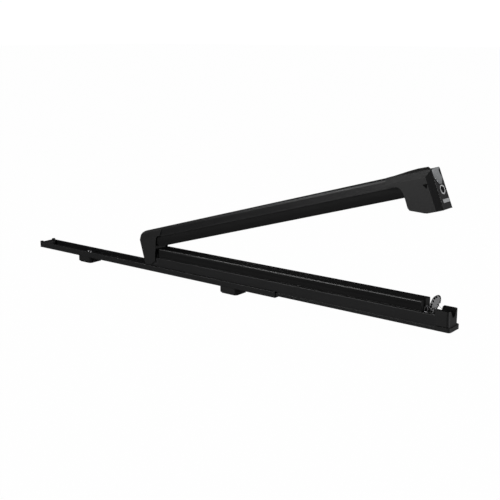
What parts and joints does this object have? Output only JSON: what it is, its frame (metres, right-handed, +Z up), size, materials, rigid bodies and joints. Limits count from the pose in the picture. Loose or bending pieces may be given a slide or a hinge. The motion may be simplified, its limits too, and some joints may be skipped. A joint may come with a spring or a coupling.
{
  "type": "roof ski carrier",
  "caption": "Slide-out roof carrier for skis: a footed rail, a sliding rubber-topped carriage and a hinged clamping arm that closes over it and locks at its end with a push button.",
  "frame": {"origin": "middle of the front foot's seat, where it rests on the front roof bar", "axes": "X along the rail from its capped rear end towards the latch, Y across the carrier, Z up from the roof bars"},
  "size_m": [1.133, 0.0444, 0.3122],
  "materials": {
    "black_anodised": "satin black anodised extrusion",
    "black_rubber": "matt EPDM extrusion",
    "black_plastic": "fine-textured moulding",
    "glide_plastic": "smooth low-friction moulding",
    "silver_plastic": "silver lacquered moulding",
    "badge_plastic": "smooth blank plate",
    "steel": "zinc plated steel",
    "cast": "black coated casting",
    "chrome": "polished chrome",
    "lock_steel": "turned lock steel",
    "black_screw": "black coated steel",
    "brass": "turned brass"
  },
  "bodies": {
    "base": {"base_rail": "black_anodised", "rail_end_cap": "black_plastic", "rail_front_stop": "steel", "front_foot": "black_plastic", "rear_foot": "black_plastic", "front_foot_pad": "black_rubber", "rear_foot_pad": "black_rubber", "front_foot_insert": "brass", "rear_foot_insert": "brass", "foot_bolts": "steel", "foot_washers": "steel", "foot_screws": "steel"},
    "carriage": {"carriage_profile": "black_anodised", "glide_shoes_rear": "glide_plastic", "glide_shoes_front": "glide_plastic", "bed_rubber": "black_rubber", "hinge_bushes": "glide_plastic", "travel_stop_lug": "steel", "stop_lug_screw": "steel", "end_block": "black_plastic", "end_block_screws": "steel", "catch_ears": "black_screw", "catch_screws": "black_screw", "catch_bail": "steel", "catch_pin": "steel"},
    "catch": {"catch_plates": "steel", "catch_core": "black_plastic"},
    "arm": {"arm_profile": "black_anodised", "arm_rubber": "black_rubber", "elbow_cover_near": "black_plastic", "elbow_cover_far": "black_plastic", "elbow_bracket": "cast", "bracket_screws": "steel", "hinge_pin": "black_screw", "lock_housing_near": "black_plastic", "lock_housing_far": "black_plastic", "lock_front_plate": "black_plastic", "housing_screws": "black_screw", "blank_badge": "badge_plastic", "lock_ring": "chrome", "lock_barrel": "lock_steel", "pawl_pin": "steel"},
    "button": {"push_button": "silver_plastic"},
    "pawl": {"latch_pawl": "steel"},
    "lock": {"lock_plug": "lock_steel", "lock_cam": "steel"}
  },
  "joints": [
    {"name": "carriage_slide", "type": "slide", "parent": "base", "child": "carriage", "axis": [1, 0, 0], "range_m": [-0.35, 0]},
    {"name": "arm_hinge", "type": "hinge", "parent": "carriage", "child": "arm", "pos_m": [-0.2135, 0, 0.039], "axis": [0, -1, 0], "range_deg": [-16.29, 0]},
    {"name": "button_push", "type": "slide", "parent": "arm", "child": "button", "axis": [-0.9599, 0, -0.2805], "range_m": [0, 0.0026], "stiffness_N_per_m": 600},
    {"name": "pawl_pivot", "type": "hinge", "parent": "arm", "child": "pawl", "pos_m": [0.45217, 0, 0.2803], "axis": [0, -1, 0], "range_deg": [0, 10.5]},
    {"name": "lock_turn", "type": "hinge", "parent": "arm", "child": "lock", "pos_m": [0.47843, 0, 0.27443], "axis": [0.9236, 0, 0.3834], "range_deg": [0, 90]},
    {"name": "catch_pivot", "type": "hinge", "parent": "carriage", "child": "catch", "pos_m": [0.4745, 0, 0.0515], "axis": [0, 1, 0], "range_deg": [0, 10]}
  ],
  "couplings": [
    {"joint": "pawl_pivot", "follows": "button_push", "rad_per_m": 70.4}
  ]
}
